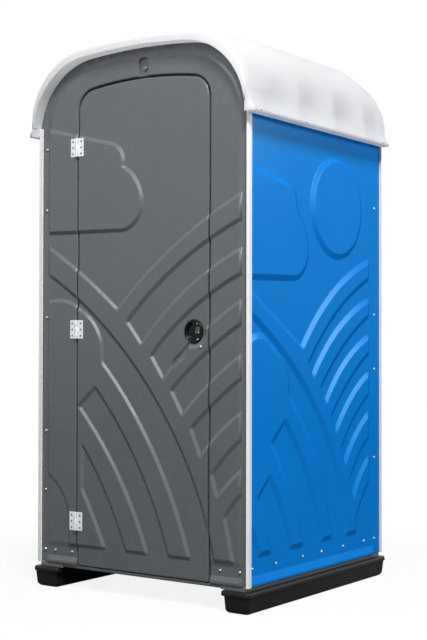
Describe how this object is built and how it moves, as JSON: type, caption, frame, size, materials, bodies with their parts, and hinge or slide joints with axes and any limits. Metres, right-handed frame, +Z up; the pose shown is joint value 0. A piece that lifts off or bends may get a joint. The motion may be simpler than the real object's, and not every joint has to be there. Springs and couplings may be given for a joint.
{
  "type": "portable toilet cabin",
  "caption": "Free-standing moulded toilet cabin on two skids, with vaulted roof, outward door, turn lock, tank and seat.",
  "frame": {"origin": "on the ground under the middle of the cabin", "axes": "+Z up, -Y out of the door, +X to the right seen from the door"},
  "size_m": [1.186, 1.149, 2.3448],
  "materials": {
    "front_grey": "moulded plastic, light sheen",
    "wall_blue": "moulded plastic, light sheen",
    "roof_white": "moulded plastic, translucent white",
    "skid_black": "moulded black plastic",
    "floor_grey": "moulded plastic",
    "tank_black": "moulded plastic",
    "seat_white": "smooth plastic",
    "pipe_grey": "extruded plastic pipe",
    "lock_black": "moulded black plastic",
    "window_clear": "clear plastic pane",
    "indicator": "green, white and red fields",
    "rivet_grey": "painted rivet",
    "steel": "galvanised steel"
  },
  "bodies": {
    "root": {"skid_left": "skid_black", "skid_right": "skid_black", "floor_pan": "floor_grey", "corner_post_front_left": "roof_white", "corner_post_front_right": "roof_white", "corner_post_rear_left": "roof_white", "corner_post_rear_right": "roof_white", "front_frame": "front_grey", "right_wall": "wall_blue", "left_wall": "wall_blue", "rear_wall": "wall_blue", "roof": "roof_white", "hinge_top_frame_leaf": "steel", "hinge_middle_frame_leaf": "steel", "hinge_bottom_frame_leaf": "steel", "hinge_top_pin": "steel", "hinge_middle_pin": "steel", "hinge_bottom_pin": "steel", "hinge_rivets_frame": "steel", "keeper_plate": "steel", "anchor_bolt": "steel", "front_rivets": "rivet_grey", "right_wall_rivets": "rivet_grey", "left_wall_rivets": "rivet_grey", "rear_wall_rivets": "rivet_grey", "roof_screws": "rivet_grey", "waste_tank": "tank_black", "seat_deck": "tank_black", "seat_ring": "seat_white", "seat_hinge_pin": "steel", "vent_pipe": "pipe_grey", "vent_pipe_clip": "steel", "paper_holder": "seat_white", "coat_hook": "steel"},
    "door": {"door_panel": "front_grey", "lock_cup": "lock_black", "lock_window": "window_clear", "lock_case": "lock_black", "lock_screws": "steel", "case_screws": "steel", "door_rivet": "rivet_grey", "door_pull": "lock_black", "hinge_top_door_leaf": "steel", "hinge_middle_door_leaf": "steel", "hinge_bottom_door_leaf": "steel", "hinge_rivets_door": "steel"},
    "lock_turn": {"occupancy_disc": "indicator", "lock_spindle": "steel", "thumb_turn": "lock_black"},
    "latch": {"latch_bolt": "steel"},
    "lid": {"seat_lid": "seat_white"},
    "paper_spindle": {"paper_spindle": "seat_white"}
  },
  "joints": [
    {"name": "door_swing", "type": "hinge", "parent": "root", "child": "door", "pos_m": [-0.3295, -0.5533, 1.095], "axis": [0, 0, -1], "range_deg": [0, 105]},
    {"name": "lock_turn", "type": "hinge", "parent": "door", "child": "lock_turn", "pos_m": [0.281, -0.5, 1.096], "axis": [0, 1, 0], "range_deg": [0, 90]},
    {"name": "latch_slide", "type": "slide", "parent": "door", "child": "latch", "axis": [1, 0, 0], "range_m": [0, 0.022]},
    {"name": "lid_hinge", "type": "hinge", "parent": "root", "child": "lid", "pos_m": [0, 0.458, 0.612], "axis": [-1, 0, 0], "range_deg": [0, 97]},
    {"name": "paper_spin", "type": "hinge", "parent": "root", "child": "paper_spindle", "pos_m": [-0.46, -0.11, 0.72], "axis": [0, 1, 0], "continuous": true}
  ],
  "couplings": [
    {"joint": "latch_slide", "follows": "lock_turn", "m_per_rad": 0.014}
  ]
}
